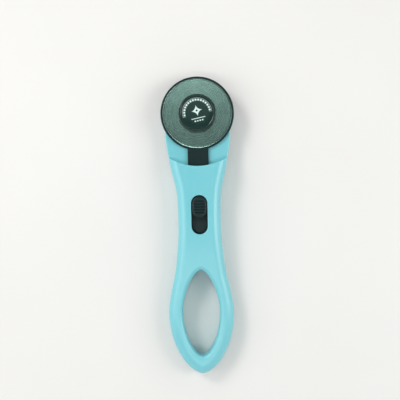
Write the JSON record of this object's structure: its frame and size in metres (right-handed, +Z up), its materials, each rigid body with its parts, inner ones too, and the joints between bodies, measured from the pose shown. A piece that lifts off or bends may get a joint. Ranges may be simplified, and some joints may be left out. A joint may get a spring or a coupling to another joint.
{
  "type": "rotary cutter",
  "caption": "Hand rotary cutter for fabric: a round blade that spins at the head of a plastic handle with a finger loop, and a guard disc moved by a thumb slide.",
  "frame": {"origin": "on the blade's axis, at the closed rear face of the clamp nut, which the cutter rests on", "axes": "+Z up along the blade's axis, from the clamp nut to the hub cap; +Y along the handle towards the head"},
  "size_m": [0.0478, 0.1936, 0.0195],
  "materials": {
    "handle_plastic": "satin",
    "dark_plastic": "satin",
    "hub_plastic": "gloss",
    "badge_print": "printed",
    "blade_steel": "ground",
    "screw_steel": "zinc plated",
    "spring_steel": "bright",
    "insert_brass": "turned"
  },
  "bodies": {
    "handle": {"rear_shell": "handle_plastic", "front_shell": "handle_plastic", "handle_screws": "screw_steel", "pivot_bolt": "screw_steel", "pivot_bush": "screw_steel", "hub_cap": "hub_plastic", "hub_badge": "badge_print", "detent_spring": "spring_steel"},
    "guard": {"blade_guard": "dark_plastic", "thumb_slide": "dark_plastic"},
    "cutting_blade": {"blade": "blade_steel"},
    "washer": {"spring_washer": "spring_steel"},
    "nut": {"clamp_nut": "dark_plastic", "nut_insert": "insert_brass"}
  },
  "joints": [
    {"name": "guard_slide", "type": "slide", "parent": "handle", "child": "guard", "axis": [0, -1, 0], "range_m": [0, 0.01], "deforming": ["detent_spring"]},
    {"name": "blade_spin", "type": "hinge", "parent": "handle", "child": "cutting_blade", "pos_m": [0, 0, 0.0143], "axis": [0, 0, 1], "continuous": true},
    {"name": "washer_slide", "type": "slide", "parent": "handle", "child": "washer", "axis": [0, 0, -1], "range_m": [0, 0.004]},
    {"name": "nut_turn", "type": "hinge", "parent": "washer", "child": "nut", "pos_m": [0, 0, 0.0035], "axis": [0, 0, -1], "range_deg": [0, 1800]}
  ],
  "couplings": [
    {"joint": "washer_slide", "follows": "nut_turn", "m_per_rad": 0.00012732}
  ]
}
